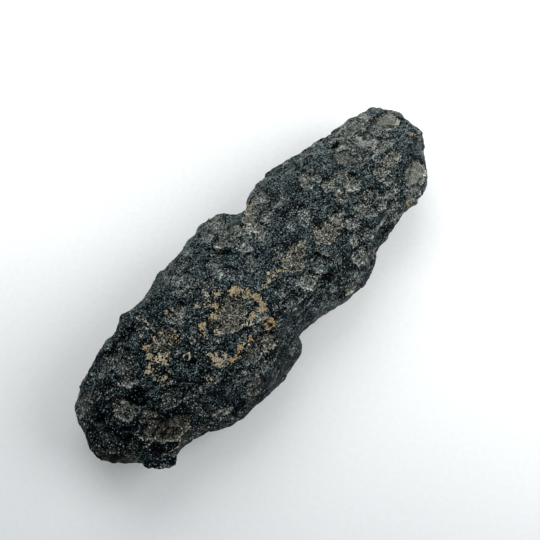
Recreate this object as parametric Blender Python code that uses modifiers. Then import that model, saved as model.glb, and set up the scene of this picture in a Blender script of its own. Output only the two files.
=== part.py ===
"""Elongated splash-form tektite: one piece of black natural glass, scooped all over with bowl-shaped pits.

Frame: +X along the stone towards its tapered end, +Z up, origin under the middle of its box, on the
surface that it lies on. Tables and dimensions are in millimetres; the mesh is in metres.
"""

import math

import bmesh
import bpy
import numpy as np
from mathutils import Vector, noise
from mathutils.bvhtree import BVHTree

NAME = "tektite"
MM = 0.001

# Driving dimensions.
TOP_ROUNDNESS = 2.7  # superellipse powers of the upper and lower half of a section: 2 is an ellipse
BASE_ROUNDNESS = 2.3
SMOOTHING = 6.0  # the notches and knobs of the outline are what differs from its mean over this reach
DETAIL_FADE = (0.25, 0.85)  # share of the rise from widest line to crest or keel where they die out
STATIONS = 230  # sections along the stone, and points round each one
ROUND = 200
VOXEL = 0.3  # the carved skin is remade at this size, then thinned to so many triangles
TRIANGLES = 9700

# Plan outline of the +Y side, from the blunt tip to the tapered tip.
PLUS_SIDE = [
    (-40.4, 0.0), (-40.1, 1.2), (-39.1, 2.7), (-37.8, 4.4), (-37.2, 5.8), (-36.4, 7.0), (-35.1, 8.2),
    (-34.0, 9.5), (-32.8, 10.1), (-32.0, 11.4), (-31.0, 11.6), (-30.1, 11.0), (-28.9, 11.1),
    (-27.0, 12.0), (-25.2, 12.3), (-24.2, 11.6), (-23.2, 10.2), (-22.3, 10.6), (-21.0, 12.7),
    (-19.3, 13.8), (-18.0, 13.4), (-16.4, 12.2), (-14.6, 12.0), (-12.0, 12.5), (-10.0, 12.1),
    (-5.2, 12.5), (-3.2, 12.9), (-1.5, 12.8), (1.6, 12.7), (3.3, 12.2), (4.4, 11.0), (5.0, 9.4),
    (5.6, 8.1), (6.6, 7.9), (8.0, 8.9), (9.8, 10.4), (12.4, 11.4), (16.0, 10.8), (20.0, 10.2), (24.0, 9.2),
    (26.5, 8.1), (28.2, 7.5), (30.5, 7.5), (34.0, 7.1), (36.2, 6.4), (37.8, 5.3), (39.0, 3.8),
    (40.2, 1.9), (40.7, 0.0),
]

# The same for the -Y side.
MINUS_SIDE = [
    (-40.4, 0.0), (-40.4, -1.7), (-39.2, -3.1), (-37.0, -3.9), (-36.1, -5.4), (-36.0, -7.6), (-36.1, -9.6),
    (-35.0, -11.2), (-32.8, -11.2), (-30.6, -10.2), (-29.6, -9.8), (-28.4, -9.9), (-27.2, -10.4),
    (-25.5, -10.8), (-24.2, -11.0), (-22.2, -12.3), (-20.3, -13.2), (-15.0, -14.1), (-11.5, -14.3),
    (-8.4, -13.9), (-6.2, -14.0), (-5.0, -14.0), (-4.2, -13.3), (-3.4, -12.1), (-1.9, -11.5),
    (-0.8, -11.6), (0.0, -12.1),
    (1.8, -12.2), (4.2, -12.8), (7.5, -13.6), (10.0, -13.8), (13.4, -14.1), (15.0, -14.0), (16.2, -12.9),
    (17.4, -12.0), (18.4, -11.8), (19.4, -12.5), (22.0, -12.3), (25.0, -11.4), (28.0, -12.5),
    (30.3, -13.0), (32.8, -12.2), (35.3, -9.3), (37.4, -8.2), (39.0, -6.4), (40.1, -3.3), (40.7, 0.0),
]

# Heights of the crest, the keel and the widest line of each side along the stone. The keel is
# trimmed flat at the surface that the stone lies on.
CREST = [
    (-40.4, 9.2), (-39.8, 11.8), (-38.4, 14.2), (-36.0, 16.5), (-32.0, 18.6), (-27.0, 19.6), (-21.0, 20.9),
    (-14.0, 21.2), (-8.0, 20.5), (-1.0, 20.9), (6.0, 20.7), (13.0, 19.6), (20.0, 19.3), (26.0, 18.2),
    (31.0, 17.0), (35.0, 15.6), (38.0, 13.6), (40.0, 11.2), (40.7, 8.8),
]
KEEL = [
    (-40.4, 9.2), (-39.7, 6.4), (-38.0, 4.4), (-35.0, 2.4), (-30.0, 0.7), (-24.0, -0.5), (-16.0, -0.9),
    (-8.0, -0.2), (-2.0, -0.4), (8.0, -0.9), (18.0, -0.7), (24.0, -0.3), (29.0, 1.0), (34.0, 2.7),
    (38.0, 4.8), (40.0, 7.0), (40.7, 8.8),
]
PLUS_WIDE = [(-40.4, 9.2), (-25.0, 10.0), (-5.0, 10.5), (12.0, 9.0), (30.0, 8.5), (40.7, 8.8)]
MINUS_WIDE = [(-40.4, 9.2), (-28.0, 8.0), (-12.0, 7.5), (5.0, 9.0), (25.0, 8.0), (40.7, 8.8)]
# How far the crest lies to the +Y side of the middle.
CREST_SHIFT = [
    (-40.4, 0.0), (-30.0, 0.8), (-15.0, 0.6), (0.0, 0.0), (15.0, -0.6), (28.0, -2.2), (40.7, -0.8),
]

# Swells that run over the whole body.
SWELL_SIZE = 9.0
SWELL_HEIGHT = 0.55

# The stone rests on these lands of its underside, which no pit touches.
LANDS = [(-20.0, 2.5), (-12.0, -3.5), (9.0, 3.5), (20.0, -2.0)]
LAND_RADIUS = 1.7

# Pits of the upper side are aimed from one point, through a place (x, y) on the middle plane.
AIM_FROM = (-70.0, -58.0, 238.0)
MIDDLE_Z = 10.0

# Knobs and notches of the outline met by lines from AIM_FROM: place (x, y) on the middle plane, reach,
# and how far the side is pushed out there.
KNOBS = [
    (-31.4, 11.3, 1.3, 0.75), (-23.2, 12.3, 1.4, -0.9), (-19.2, 14.0, 1.8, 1.0), (-15.3, 13.1, 1.8, -0.6),
    (-11.0, 13.8, 2.2, -0.5), (-5.5, 13.4, 1.6, -0.3), (-0.1, 14.1, 2.2, 0.2), (5.4, 13.0, 2.2, 0.45),
    (6.8, 10.4, 1.5, -1.0), (13.5, 11.7, 2.6, 0.5), (36.7, 6.1, 2.2, 0.4), (39.5, -0.5, 3.0, 0.5),
    (37.7, -5.6, 2.6, 0.2), (29.0, -11.5, 1.8, 0.3), (21.2, -11.7, 2.6, 0.5), (15.3, -12.5, 1.6, 0.4),
    (9.8, -13.7, 2.5, 0.3), (-4.5, -13.1, 2.0, 0.4), (-12.3, -13.8, 3.0, 0.35), (-20.3, -13.1, 3.0, 0.5),
    (-35.5, -8.0, 1.8, 1.3), (-39.5, -1.8, 2.4, 0.8), (-39.7, 1.9, 3.0, 0.4), (-36.8, 7.5, 3.0, 0.3),
]

# Broad dished facets of the upper side: place, footprint radius and depth.
FACETS = [
    (31.5, 4.5, 7.5, 1.6), (37.0, 2.6, 3.1, 0.6), (27.5, 3.6, 3.4, 0.9), (32.6, 3.0, 2.9, 0.7),
    (32.0, -8.6, 3.2, 0.7), (27.0, -6.4, 2.8, 0.7), (9.5, 9.2, 3.2, 0.9), (-28.2, -6.2, 4.2, 1.3),
    (-29.4, -2.6, 2.9, 1.0), (-25.0, -3.6, 3.4, 0.7), (-8.2, 0.2, 4.6, 0.8), (6.6, -2.6, 3.6, 0.7),
    (14.2, -2.6, 3.1, 0.7), (-18.4, 5.0, 3.4, 0.6), (-14.0, -4.4, 3.0, 0.6), (-8.0, -7.8, 3.6, 0.7),
]

# Single pits of the upper side.
PITS = [
    (-37.4, 1.4, 2.6, 0.8), (-36.2, -3.4, 1.4, 0.4), (-31.6, 3.4, 2.4, 0.6), (-34.4, 4.4, 1.6, 0.6),
    (-28.8, 2.2, 2.0, 0.7), (-34.6, -1.2, 1.7, 0.6), (-32.6, -0.6, 1.4, 0.5), (-27.4, 6.2, 2.1, 0.5),
    (-30.6, 7.4, 1.8, 0.4), (-34.8, 7.2, 1.8, 0.4), (-23.4, 8.6, 1.7, 0.4), (-13.6, 6.6, 1.7, 0.5),
    (-12.2, 7.4, 1.2, 0.5), (-6.0, 5.8, 1.5, 0.4), (1.0, 9.4, 1.6, 0.5), (2.6, 11.8, 1.7, 0.4),
    (-0.6, 7.6, 1.7, 0.6), (3.2, 5.8, 1.5, 0.4), (7.2, 6.8, 1.6, 0.5), (4.6, 8.6, 1.4, 0.4),
    (9.6, -6.2, 1.8, 0.6), (6.2, -6.2, 1.9, 0.5), (21.2, 1.8, 1.6, 0.5), (21.4, -0.9, 1.8, 0.5),
    (24.1, -0.6, 1.7, 0.5), (19.2, 5.4, 1.8, 0.5), (14.0, 2.5, 1.4, 0.4), (17.6, -1.0, 1.6, 0.4),
    (19.0, -5.0, 1.5, 0.5), (22.4, -5.0, 1.5, 0.5), (24.0, -3.4, 1.4, 0.5), (29.0, -3.1, 1.7, 0.5),
    (32.4, -3.0, 2.0, 0.5), (13.4, -10.2, 1.8, 0.6), (16.2, -8.6, 1.8, 0.5), (20.6, -10.8, 1.6, 0.6),
    (24.4, -9.4, 1.9, 0.5), (36.4, -3.0, 1.7, 0.4), (33.6, 6.0, 1.9, 0.5), (20.4, 9.0, 2.0, 0.4),
    (25.4, 7.2, 1.8, 0.4), (-21.6, -11.8, 2.0, 0.6), (-16.4, -11.8, 2.3, 0.5), (-25.2, -9.6, 1.7, 0.5),
    (-19.6, -3.6, 1.7, 0.4), (-18.8, -0.6, 1.5, 0.4), (0.4, -4.8, 1.8, 0.4), (1.8, 1.8, 2.0, 0.4),
    (10.2, 4.4, 2.0, 0.4), (-15.6, 12.2, 1.8, 0.6), (-10.2, 11.2, 2.0, 0.4), (-4.2, 10.8, 1.7, 0.4),
    (-33.0, -7.2, 1.4, 0.5), (5.8, -10.8, 2.2, 0.6), (1.6, -9.2, 2.2, 0.5),
]

# Pits scattered over the whole surface, under the ones placed above: how many, how wide, how steep.
SCATTER_SEED = 11
SCATTERED = [(130, (3.0, 5.6)), (460, (1.3, 2.8))]
STEEPNESS = (0.17, 0.30)  # depth over radius
UPPER_STEEPNESS = 0.55  # how much shallower the scattered pits of the upper side are
REACH = 1.5  # a pit acts on points within this many radii of its middle
TRIM = 0.05  # taken off the lowest points, so that the lands are flat


def interpolated(table, x):
    columns = np.array(table)
    return np.interp(x, columns[:, 0], columns[:, 1])


def smoothed(table, x):
    """The table's mean over a reach that shrinks to nothing at the tips."""
    reach = min(SMOOTHING, x - table[0][0], table[-1][0] - x)
    return interpolated(table, x + np.linspace(-reach, reach, 15)).mean()


def power_curve(value, power):
    """A sine or cosine bent to a superellipse, with its sign kept."""
    return np.sign(value) * np.abs(value) ** (2.0 / power)


def section(x, detail):
    """The points round the stone at one place along it, with this share of the outline's detail."""
    turn = np.arange(ROUND) * (2 * math.pi / ROUND)
    power = np.where(np.sin(turn) > 0, TOP_ROUNDNESS, BASE_ROUNDNESS)
    rise, spread = power_curve(np.sin(turn), power), power_curve(np.cos(turn), power)
    fade = np.clip((np.abs(rise) - DETAIL_FADE[0]) / (DETAIL_FADE[1] - DETAIL_FADE[0]), 0.0, 1.0)
    sides = []
    for table in (PLUS_SIDE, MINUS_SIDE):
        broad = smoothed(table, x)
        sides.append(broad + (interpolated(table, x) - broad) * detail * (1 - fade))
    plus, minus = sides
    across = (plus + minus) / 2 + (plus - minus) / 2 * spread
    across += interpolated(CREST_SHIFT, x) * np.maximum(rise, 0.0) * np.abs(np.sin(turn))
    to_plus = (spread + 1) / 2
    wide = interpolated(MINUS_WIDE, x) * (1 - to_plus) + interpolated(PLUS_WIDE, x) * to_plus
    height = np.where(rise > 0, interpolated(CREST, x) - wide, wide - interpolated(KEEL, x))
    return np.stack([np.full(ROUND, x), across, wide + height * rise], axis=1)


def body_points(detail):
    """Sections along the stone, closer together near its ends, then its two tips."""
    start, end = CREST[0][0], CREST[-1][0]
    along = np.linspace(-1.0, 1.0, STATIONS + 2)[1:-1]
    places = (start + end) / 2 + (end - start) / 2 * (0.45 * along + 0.55 * np.sin(along * math.pi / 2))
    tips = [(start, 0.0, CREST[0][1]), (end, 0.0, CREST[-1][1])]
    return np.concatenate([section(x, detail) for x in places] + [tips])


def body_mesh(points):
    """The sections lofted, and closed at the tips."""
    last_ring = (STATIONS - 1) * ROUND
    first_tip, last_tip = STATIONS * ROUND, STATIONS * ROUND + 1
    faces = []
    for k in range(ROUND):
        after = (k + 1) % ROUND
        faces.append((first_tip, after, k))
        faces.append((last_tip, last_ring + k, last_ring + after))
        for ring in range(0, last_ring, ROUND):
            faces.append((ring + k, ring + after, ring + ROUND + after, ring + ROUND + k))
    mesh = bpy.data.meshes.new(NAME)
    mesh.from_pydata(points.tolist(), [], faces)
    return mesh


def scoop(points, centre, axis, radius, depth):
    """Carves a round bowl: points above a ball's surface drop to it along the axis."""
    ball = (radius**2 + depth**2) / (2 * depth)
    near = np.linalg.norm(points - centre, axis=1) < REACH * radius
    offset = points[near] - (centre + axis * (ball - depth))
    along = offset @ axis
    across = (offset**2).sum(axis=1) - along**2
    drop = along + np.sqrt(np.maximum(ball**2 - across, 0.0))
    points[near] -= np.where(across < ball**2, np.maximum(drop, 0.0), 0.0)[:, None] * axis


def aimed(tree, x, y):
    """The face that the line from AIM_FROM through (x, y) on the middle plane meets, and the place."""
    start = Vector(AIM_FROM)
    place, _, face, _ = tree.ray_cast(start, Vector((x, y, MIDDLE_Z)) - start)
    if place is None:
        place, _, face, _ = tree.find_nearest(Vector((x, y, MIDDLE_Z)))
    return face, np.array(place)


def on_a_land(place, radius):
    return place[2] < radius and any(
        math.hypot(place[0] - x, place[1] - y) < LAND_RADIUS + 0.9 * radius for x, y in LANDS
    )


def scatter(points, rest, normals):
    """Carves the scattered pits, the wide ones first."""
    rng = np.random.default_rng(SCATTER_SEED)
    for count, radii in SCATTERED:
        for index in rng.integers(0, len(rest), count):
            radius, steepness = rng.uniform(*radii), rng.uniform(*STEEPNESS)
            if normals[index][2] > 0:
                steepness *= 1 - (1 - UPPER_STEEPNESS) * normals[index][2]
            if not on_a_land(rest[index], radius):
                scoop(points, rest[index], normals[index], radius, radius * steepness)


def push_sides(points, normals):
    """Pushes the sides out or in, level with the ground, at each knob and notch."""
    start = np.array(AIM_FROM)
    way = points - start
    seen = start + way * ((MIDDLE_Z - start[2]) / way[:, 2])[:, None]
    level = normals * (1.0, 1.0, 0.0)
    for x, y, reach, out in KNOBS:
        gap = np.hypot(seen[:, 0] - x, seen[:, 1] - y) / reach
        points += level * (out * np.exp(-(gap**2)))[:, None]


def carved_points():
    """The points of the pitted stone."""
    smooth = body_mesh(body_points(0.0))
    normals = np.array([v.normal for v in smooth.vertices])
    rest = body_points(1.0)
    for point, normal in zip(rest, normals):
        point += normal * noise.noise(Vector(point / SWELL_SIZE)) * SWELL_HEIGHT
    push_sides(rest, normals)
    rest[:, 2] = np.maximum(rest[:, 2], 0.0)
    points = rest.copy()
    scatter(points, rest, normals)
    tree = BVHTree.FromPolygons(rest.tolist(), [tuple(p.vertices) for p in smooth.polygons])
    for x, y, radius, depth in FACETS + PITS:
        face, place = aimed(tree, x, y)
        scoop(points, place, np.array(smooth.polygons[face].normal), radius, depth)
    bpy.data.meshes.remove(smooth)
    return points


def glass_material():
    material = bpy.data.materials.new("tektite_glass")
    material.use_nodes = True
    shader = material.node_tree.nodes["Principled BSDF"]
    shader.inputs["Base Color"].default_value = (0.018, 0.020, 0.021, 1.0)
    shader.inputs["Roughness"].default_value = 0.55
    shader.inputs["Metallic"].default_value = 0.0
    return material


def result_of_modifiers(stone):
    """Replaces the object's mesh with what its modifiers make of it."""
    shaped = stone.evaluated_get(bpy.context.evaluated_depsgraph_get())
    mesh = bpy.data.meshes.new_from_object(shaped)
    stone.modifiers.clear()
    old, stone.data = stone.data, mesh
    bpy.data.meshes.remove(old)
    mesh.name = NAME


def settle(mesh):
    """Puts the middle of the box over the origin and the lowest point at zero, then trims the lands flat."""
    points = np.array([v.co for v in mesh.vertices])
    low, high = points.min(axis=0), points.max(axis=0)
    points -= np.array([(low[0] + high[0]) / 2, (low[1] + high[1]) / 2, low[2] + TRIM * MM])
    points[:, 2] = np.maximum(points[:, 2], 0.0)
    mesh.vertices.foreach_set("co", points.ravel())
    mesh.update()


def build_tektite(collection):
    stone = bpy.data.objects.new(NAME, body_mesh(carved_points() * MM))
    collection.objects.link(stone)
    remade = stone.modifiers.new("one_skin", "REMESH")
    remade.mode = "VOXEL"
    remade.voxel_size = VOXEL * MM
    result_of_modifiers(stone)
    work = bmesh.new()
    work.from_mesh(stone.data)
    bmesh.ops.triangulate(work, faces=work.faces)
    work.to_mesh(stone.data)
    work.free()
    thin = stone.modifiers.new("thin_faces", "DECIMATE")
    thin.ratio = TRIANGLES / len(stone.data.polygons)
    result_of_modifiers(stone)
    settle(stone.data)
    stone.data.materials.clear()
    stone.data.materials.append(glass_material())
    stone.data.shade_smooth()


def main():
    for old in list(bpy.data.objects):
        bpy.data.objects.remove(old)
    collection = bpy.data.collections.new(NAME)
    bpy.context.scene.collection.children.link(collection)
    build_tektite(collection)


main()
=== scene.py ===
"""The looks of an elongated tektite: its finely pitted skin, its glass and clay, and a plain studio.

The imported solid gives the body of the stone. Its skin is remade finer here, and carved with the bowls,
hollows, ledges and grain that the solid is too coarse for. Lengths in the tables are in millimetres,
and turns in degrees. A tone of 0 is the middle brightness of its kind of surface, and 0.1 is a tenth
brighter to the eye.
"""

import math

import bpy
import numpy as np
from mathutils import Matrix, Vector, kdtree, noise


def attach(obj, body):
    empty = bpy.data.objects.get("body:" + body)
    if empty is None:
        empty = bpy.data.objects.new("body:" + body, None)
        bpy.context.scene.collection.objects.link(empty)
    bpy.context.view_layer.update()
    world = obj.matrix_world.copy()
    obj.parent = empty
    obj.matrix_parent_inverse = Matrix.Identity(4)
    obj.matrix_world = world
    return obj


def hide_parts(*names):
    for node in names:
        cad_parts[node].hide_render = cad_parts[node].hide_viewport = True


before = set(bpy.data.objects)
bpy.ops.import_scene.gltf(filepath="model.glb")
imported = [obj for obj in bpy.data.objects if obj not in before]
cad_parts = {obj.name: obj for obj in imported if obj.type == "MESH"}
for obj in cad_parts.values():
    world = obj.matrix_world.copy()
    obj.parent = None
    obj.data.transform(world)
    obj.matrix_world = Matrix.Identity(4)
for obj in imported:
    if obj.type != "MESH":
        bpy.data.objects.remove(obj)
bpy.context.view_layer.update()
scene = bpy.context.scene

MM = 0.001

# The camera. In the tables below, x and y are where its line of sight to a place crosses the level plane
# at the height SIGHT_PLANE, measured from TABLE_ORIGIN.
CAMERA_AT = (-68.2, -59.4, 238.7)
CAMERA_LOOKS_AT = (2.6, 0.05, 10.0)
CAMERA_LENS = 98.07
SENSOR = 36.0
CLIP_START = 10.0
SIGHT_PLANE = 10.0
TABLE_ORIGIN = (0.0, 0.22)

# Broad bowls: x, y, half length, half width, turn, depth, how pale and how warm the floor is, and how many
# rings it has.
BOWLS = [
    # blunt end
    (-37.1, 1.2, 2.2, 2.3, 0, 0.7, 0.15, 0.3, 3), (-31.2, 2.5, 1.7, 2.1, 0, 0.5, 0.4, 0.7, 0),
    (-37.6, -0.6, 1.1, 1, 0, 0.4, 0.35, 0.6, 0), (-35.5, -3.7, 1.6, 1.5, 0, 0.45, 0.35, 0.5, 1),
    (-29.5, -1.5, 1.7, 1.1, 0, 0.45, 0.5, 0.9, 0), (-30.9, -3.6, 2.4, 1.4, 0, 0.45, 0.45, 1, 0),
    (-28.6, -6, 3.3, 1.9, -20, 0.6, 0.47, 1, 0), (-25, -2.2, 2.2, 1.6, 0, 0.4, 0.2, 0.5, 0),
    (-23, -5.4, 1.3, 2.3, 10, 0.4, 0.15, 0.6, 3), (-27.2, 5.2, 1.5, 0.9, -15, 0.3, 0.65, 0.4, 0),
    (-26, 7.3, 1.6, 1.1, 0, 0.3, 0.35, 0.4, 2), (-35, 8, 2.6, 1.1, 25, 0.35, 0.35, 0.3, 0),
    (-32.2, 7.6, 1.2, 0.8, 20, 0.25, 0.5, 0.7, 0), (-26, 9, 3, 0.9, -5, 0.3, 0.25, 0.4, 0),
    (-26, -9.6, 2.3, 0.9, -10, 0.35, 0.4, 0.5, 0), (-21.3, -10.4, 2.2, 1, -25, 0.35, 0.45, 0.6, 4),
    # middle, towards the blunt end
    (-18.5, 4.9, 2.4, 2.4, 0, 0.45, 0.4, 1, 3), (-23.4, 2.7, 1.1, 1, 0, 0.3, 0.2, 0.6, 0),
    (-7.8, -0.2, 3.5, 3, 0, 0.55, 0.45, 1, 0), (-7.5, -7.8, 2.4, 1.8, -15, 0.45, 0.45, 1, 0),
    (-10.8, -7.8, 1.7, 1.4, 0, 0.3, 0.3, 0.8, 0), (-14.2, -11.2, 2.4, 0.9, 15, 0.35, 0.4, 0.7, 2),
    (-14.6, -3.8, 1.7, 1.5, 0, 0.35, 0.35, 0.8, 0), (-13.5, 6.5, 1.6, 1.5, 0, 0.4, 0.4, 0.4, 0),
    (-9.2, 7.5, 1.1, 1, 0, 0.25, 0.3, 0.3, 0), (-8.7, 9.6, 1.9, 1.6, 0, 0.3, 0.25, 0.2, 3),
    (-6, 5.8, 1.1, 1, 0, 0.3, 0.5, 0.4, 0), (-3.4, 5.9, 1.3, 1.1, 0, 0.3, 0.35, 0.2, 0),
    # the lobe and the notch
    (-1.2, 8.7, 1.2, 1.7, -20, 0.55, 0.1, 0.5, 0), (1.1, 9.5, 1.4, 1.1, 0, 0.35, 0.6, 0.5, 0),
    (3.1, 12.2, 2, 1.9, 0, 0.6, 0.4, 0.4, 0), (0.8, 12.3, 1.1, 1.2, 0, 0.35, 0.3, 0.3, 0),
    (2.9, 5.8, 1.4, 1, 0, 0.3, 0.4, 0.3, 3), (4.5, 8.8, 1.1, 1.6, 35, 0.4, 0.6, 0.5, 0),
    (7, 7.1, 1.9, 1, -30, 0.4, 0.95, 0.5, 0), (8.8, 9.2, 2.6, 1.2, 15, 0.5, 0.6, 0.8, 0),
    (12, 10, 1.6, 1, 0, 0.35, 0.35, 0.4, 1), (10.2, 6.5, 1.7, 0.8, 0, 0.25, 0.4, 0.3, 0),
    # middle, towards the tapered end
    (0.7, -6.8, 1.7, 1.4, 20, 0.35, 0.15, 0.1, 2), (6.2, -2.2, 1.7, 2.2, 0, 0.4, 0.5, 1, 0),
    (8.5, -1.3, 1.9, 1.6, 0, 0.4, 0.5, 1, 0), (5.2, -6.5, 1.8, 1.6, 0, 0.4, 0.45, 0.5, 0),
    (9.2, -6.2, 1.4, 1.3, 0, 0.55, 0.1, 0.3, 2), (14.2, -3, 2.3, 2.1, 0, 0.45, 0.5, 0.9, 2),
    (17, -3, 1.3, 1.6, 0, 0.3, 0.4, 0.8, 0), (14, 2, 1.2, 1.6, 0, 0.25, 0.35, 0.3, 0),
    (19.2, 6, 1.3, 1.9, -10, 0.45, 0.6, 0.5, 0), (21.2, 2, 1.4, 1.25, 0, 0.45, 0.6, 0.6, 0),
    (21.1, -0.6, 1.4, 1.6, 0, 0.45, 0.65, 0.6, 0), (24.2, -0.5, 1.4, 1.6, -10, 0.45, 0.6, 0.5, 0),
    (24.2, 2, 1, 0.9, 0, 0.25, 0.4, 0.3, 0), (18.5, -5.2, 1.2, 1.3, 0, 0.35, 0.4, 0.3, 0),
    (21.7, -4.7, 1.2, 0.9, 0, 0.3, 0.45, 0.5, 0), (23.7, -3.7, 1.1, 0.9, 0, 0.3, 0.35, 0.3, 0),
    (22.2, -6.6, 1.2, 0.8, 0, 0.25, 0.35, 0.3, 0), (24.6, -6.6, 1.9, 0.9, 35, 0.35, 0.5, 0.5, 0),
    (27, -6.7, 1.5, 1.1, 0, 0.35, 0.45, 0.5, 0), (14.5, -10.2, 1.8, 1.5, 0, 0.5, 0.45, 0.6, 0),
    (16, -8, 1.2, 1.1, 0, 0.3, 0.35, 0.5, 0), (18.2, -8.1, 1.1, 0.9, 0, 0.3, 0.35, 0.4, 0),
    (11, -11, 1.5, 1, 0, 0.35, 0.3, 0.3, 0), (23.5, -9.5, 3, 1, 5, 0.35, 0.3, 0.2, 0),
    (10.6, -10.6, 1.2, 1.1, 0, 0.45, 0.1, 0.2, 2), (8.7, -13, 1.6, 0.6, 5, 0.25, 0.6, 0.9, 0),
    (14.2, -9.8, 0.9, 0.8, 0, 0.3, 0.3, 0.4, 2),
    # tapered end
    (31, 5.2, 5.8, 2.8, 10, 0.1, 0.42, 0.5, 0), (27.3, 2.9, 1.5, 2.9, 28, 0.6, 0.35, 0.5, 0),
    (31.8, 3.2, 1.4, 2.7, 25, 0.5, 0.58, 0.5, 0), (32, 6.2, 2.4, 1.1, -5, 0.4, 0.58, 0.4, 0),
    (37.3, 2.3, 1.7, 2.5, 25, 0.6, 0.8, 0.5, 0), (34.6, 2.4, 1.2, 1.8, 10, 0.25, 0.3, 0.3, 0),
    (33.6, -0.2, 2.8, 0.8, -12, 0.25, 0.6, 0.5, 0), (28.7, -3.2, 1.15, 1.4, 0, 0.4, 0.55, 0.5, 0),
    (31.7, -2.7, 1.8, 1.6, 0, 0.4, 0.5, 0.8, 0), (36.3, -2.2, 1.4, 1.2, 0, 0.4, 0, 0.1, 0),
    (32.5, -8, 3, 1.7, 35, 0.5, 0.7, 0.6, 0), (29.2, -10, 1.9, 1.2, 20, 0.4, 0.3, 0.3, 0),
]

# Steep hollows, darkened with painted shade: x, y, half length, half width, turn, depth.
HOLLOWS = [
    (-34.7, 4.5, 1.1, 1, 0, 0.8), (-29, 2.4, 1.3, 1.3, 0, 0.8), (-27.4, 2.3, 1.1, 1.3, 0, 0.7),
    (-28.2, 0.7, 1.2, 0.8, 0, 0.6), (-35, -1.5, 1.3, 0.7, 0, 0.7), (-33.7, -0.3, 1, 1, 0, 0.7),
    (-32.2, -1.2, 1, 0.8, 0, 0.5), (-33, -6.8, 1.1, 1.1, 0, 0.7), (-28, 6.9, 0.5, 0.4, 0, 0.4),
    (-30, 7, 1, 0.9, 0, 0.4), (-24.5, 10.6, 1.8, 0.7, 0, 0.6), (-22, 10.4, 1.5, 0.7, 0, 0.6),
    (-20, 10.9, 1.2, 0.8, 0, 0.6), (-23.3, 8.3, 1.2, 0.5, 0, 0.4), (-19.5, -12.3, 1.6, 0.5, -5, 0.5),
    (-11.8, 7.3, 0.6, 0.6, 0, 0.5), (0, 7.4, 0.9, 0.6, -40, 0.5), (7, -9, 1.6, 1, 0, 0.5),
    (9.8, -4.4, 0.6, 0.8, 0, 0.4), (20.7, -11, 1.8, 0.5, 8, 0.5), (27.7, -9.6, 1, 0.6, 30, 0.4),
    (19, -11, 0.5, 0.7, 0, 0.4), (20.9, -10.8, 0.5, 0.4, 0, 0.4), (24.9, -8.6, 1.2, 0.5, 30, 0.4),
    (27.8, 6, 1, 0.8, 0, 0.4), (6.9, -12.2, 1.2, 0.5, -15, 0.4), (-18.7, -1.5, 1.2, 0.9, 0, 0.4),
    (24.5, -4.9, 0.9, 0.5, 20, 0.4), (2.5, -8.6, 1.4, 0.6, 15, 0.3),
]

# Clay left in the hollows: x, y, half length, half width, and how pale it is (0 orange, 0.5 tan, 1 cream).
CLAY = [
    (-12.1, 1.9, 1.2, 0.65, 0.5), (-13.4, 1, 0.3, 0.3, 0.5), (-9.4, 2.25, 0.45, 0.45, 0.5),
    (-7.9, 2.6, 0.5, 0.5, 0.4), (-6.4, 3.9, 0.7, 0.7, 0.6), (-7.5, 5.25, 0.25, 0.25, 1),
    (-9.9, 5.25, 0.5, 0.35, 0.5), (-14.5, 7.9, 0.3, 0.3, 0.5), (-4.75, 2.6, 0.25, 0.25, 0.5),
    (-3.75, 1.5, 0.9, 1.3, 0.5), (-2.75, 0, 0.9, 0.7, 0.5), (-2.75, -2.1, 0.8, 1, 0.5),
    (-3.5, -3.5, 0.7, 0.5, 0.5), (-5.25, -3.25, 0.6, 0.35, 0.4), (0.5, -1.1, 0.9, 0.45, 0.6),
    (2.1, -1.1, 0.6, 0.45, 0.6), (2.5, -0.3, 0.2, 0.2, 0.8), (3.75, -1.4, 0.5, 0.35, 0.5),
    (-15.4, -3, 0.4, 0.9, 0.6), (-15.25, -4.3, 0.5, 0.4, 0.6), (-13.1, -6, 0.9, 0.4, 0.2),
    (-11.25, -5.5, 0.7, 0.35, 0.3), (-8.9, -5.4, 0.4, 0.4, 0.2), (-10, -5.9, 0.5, 0.15, 0.9),
    (-4.25, -6.25, 0.45, 0.45, 0), (-4.5, -5.1, 0.4, 0.25, 0.3), (-5.4, -6.1, 0.25, 0.25, 0.2),
    (-18.6, -5.25, 0.25, 0.25, 0.5), (-6.7, -4, 0.2, 0.15, 1), (-21.25, 6.9, 0.6, 0.5, 0.4),
    (-21.9, 5.1, 0.4, 0.7, 0.5), (-24, 4.25, 0.3, 0.3, 0.5), (-20.6, 3.6, 0.3, 0.4, 0.9),
    (-19.9, 3.3, 0.35, 0.3, 0.6), (-20.75, 2.75, 0.4, 0.3, 0.6), (-24.1, 1.4, 0.25, 0.25, 0.5),
    (-22.75, 0.5, 0.35, 0.3, 0.5), (-21.6, 0.5, 0.3, 0.25, 0.5), (-18, 10.9, 0.5, 0.12, 1),
    (-19.25, 8.9, 0.4, 0.12, 1), (-17.5, 8.9, 0.15, 0.45, 0.9), (27, -10.7, 0.7, 0.25, 0.6),
    (-33.3, -4.2, 0.12, 0.7, 0.9), (-30, -8.1, 1.1, 0.13, 0.8), (38.1, 3.4, 0.5, 0.15, 0.9),
    (9.3, 10.5, 0.3, 0.6, 0.3), (38, -2.7, 0.2, 0.2, 0.3), (-16.6, 4.2, 0.3, 0.3, 0.5),
]

# Small rings of clay round a pinhole or the edge of a little pit: x, y, radius, thickness, how pale.
CLAY_RINGS = [
    (-11.25, -0.25, 0.36, 0.14, 1), (-8.5, 4.1, 0.5, 0.16, 0.6), (-22.8, 3.9, 0.4, 0.12, 0.7),
    (-21, 4, 0.55, 0.16, 1), (-14.1, -4, 0.8, 0.14, 0.8), (-17.8, 0, 0.6, 0.13, 1),
    (-15.6, 1.75, 0.8, 0.1, 0.7), (-18.4, 6, 1, 0.1, 0.5),
]

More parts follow.
